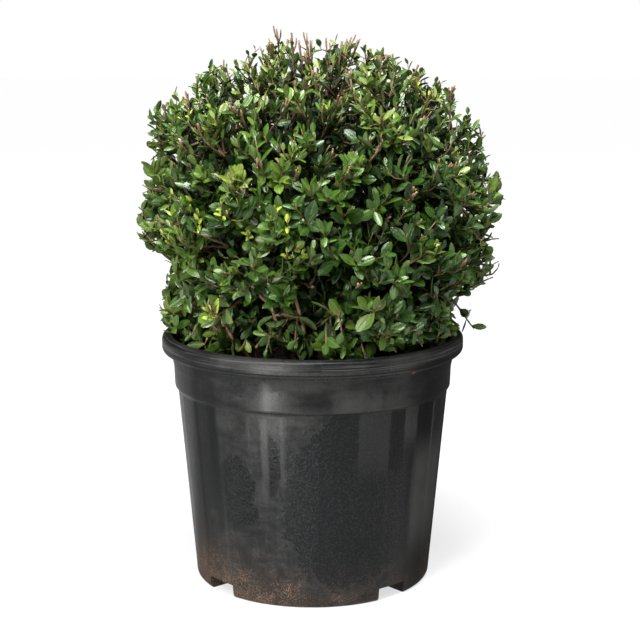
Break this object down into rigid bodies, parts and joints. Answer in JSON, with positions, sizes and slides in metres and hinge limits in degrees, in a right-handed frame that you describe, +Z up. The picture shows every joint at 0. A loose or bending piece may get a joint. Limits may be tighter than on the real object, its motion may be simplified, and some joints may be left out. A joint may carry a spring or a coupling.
{
  "type": "clipped japanese holly in a nursery pot",
  "caption": "Evergreen japanese holly shrub clipped to a ball, standing in a round black nursery pot with a rolled rim and fluted wall.",
  "frame": {"origin": "middle of the pot's flat underside, on the ground", "axes": "+Z up along the pot's axis, -Y to the front of the plant, +X to its right as seen from the front"},
  "size_m": [0.3435, 0.3376, 0.5151],
  "materials": {
    "pot_plastic": "satin",
    "potting_mix": "matte",
    "bark": "matte",
    "foliage": "satin"
  },
  "bodies": {
    "root": {"pot": "pot_plastic", "potting_mix": "potting_mix", "main_stem": "bark", "side_stem": "bark", "bough_top": "bark", "bough_upper_1": "bark", "bough_upper_2": "bark", "bough_upper_3": "bark", "bough_upper_4": "bark", "bough_lower_1": "bark", "bough_lower_2": "bark", "bough_lower_3": "bark", "bough_lower_4": "bark", "bough_lower_5": "bark", "bough_lower_6": "bark", "mass_top": "foliage", "mass_upper_1": "foliage", "mass_upper_2": "foliage", "mass_upper_3": "foliage", "mass_upper_4": "foliage", "mass_upper_5": "foliage", "mass_lower_1": "foliage", "mass_lower_2": "foliage", "mass_lower_3": "foliage", "mass_lower_4": "foliage", "mass_lower_5": "foliage", "mass_lower_6": "foliage"}
  },
  "joints": []
}
